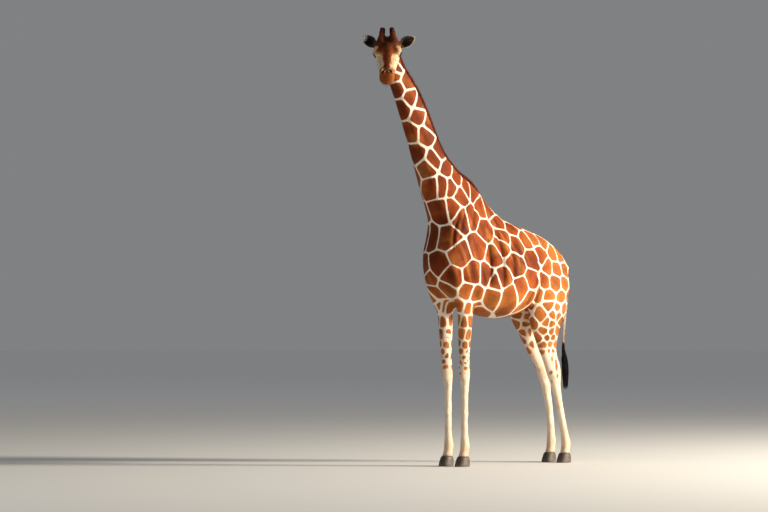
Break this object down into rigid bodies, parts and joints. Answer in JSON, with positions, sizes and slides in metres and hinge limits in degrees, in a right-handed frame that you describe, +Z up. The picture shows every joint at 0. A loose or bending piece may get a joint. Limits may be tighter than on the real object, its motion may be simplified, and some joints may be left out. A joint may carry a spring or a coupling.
{
  "type": "giraffe",
  "caption": "Adult reticulated giraffe as a still, life-size standing model, with its head turned to its left and its tail hanging.",
  "frame": {"origin": "middle of the model's box on the floor, at the level of the hoof soles", "axes": "+Z up, the giraffe faces -Y, its left side is +X"},
  "size_m": [0.8118, 3.224, 4.8749],
  "materials": {
    "head": "short coat with rust-orange patches parted by cream lines, matt",
    "neck": "short coat with rust-orange patches parted by cream lines, matt",
    "trunk": "short coat with rust-orange patches parted by cream lines, matt",
    "leg_front_left": "short cream coat over skin, matt",
    "leg_front_right": "short cream coat over skin, matt",
    "leg_hind_left": "short cream coat over skin, matt",
    "leg_hind_right": "short cream coat over skin, matt",
    "ossicone_left": "short dark hair on a horn of bone covered with skin, matt",
    "ossicone_right": "short dark hair on a horn of bone covered with skin, matt",
    "eye_left": "wet, dark brown, glossy",
    "eye_right": "wet, dark brown, glossy",
    "ear_left": "short coat with rust-orange patches parted by cream lines, matt",
    "ear_right": "short coat with rust-orange patches parted by cream lines, matt",
    "mane": "short upright dark red-brown bristles",
    "tail": "short cream coat over skin, matt",
    "tail_tuft": "long coarse black hair",
    "hoof_front_left": "dark horn with growth rings, half matt",
    "hoof_front_right": "dark horn with growth rings, half matt",
    "hoof_hind_left": "dark horn with growth rings, half matt",
    "hoof_hind_right": "dark horn with growth rings, half matt"
  },
  "bodies": {
    "root": {"head": "head", "neck": "neck", "trunk": "trunk", "leg_front_left": "leg_front_left", "leg_front_right": "leg_front_right", "leg_hind_left": "leg_hind_left", "leg_hind_right": "leg_hind_right", "ossicone_left": "ossicone_left", "ossicone_right": "ossicone_right", "eye_left": "eye_left", "eye_right": "eye_right", "ear_left": "ear_left", "ear_right": "ear_right", "mane": "mane", "tail": "tail", "tail_tuft": "tail_tuft", "hoof_front_left": "hoof_front_left", "hoof_front_right": "hoof_front_right", "hoof_hind_left": "hoof_hind_left", "hoof_hind_right": "hoof_hind_right"}
  },
  "joints": []
}
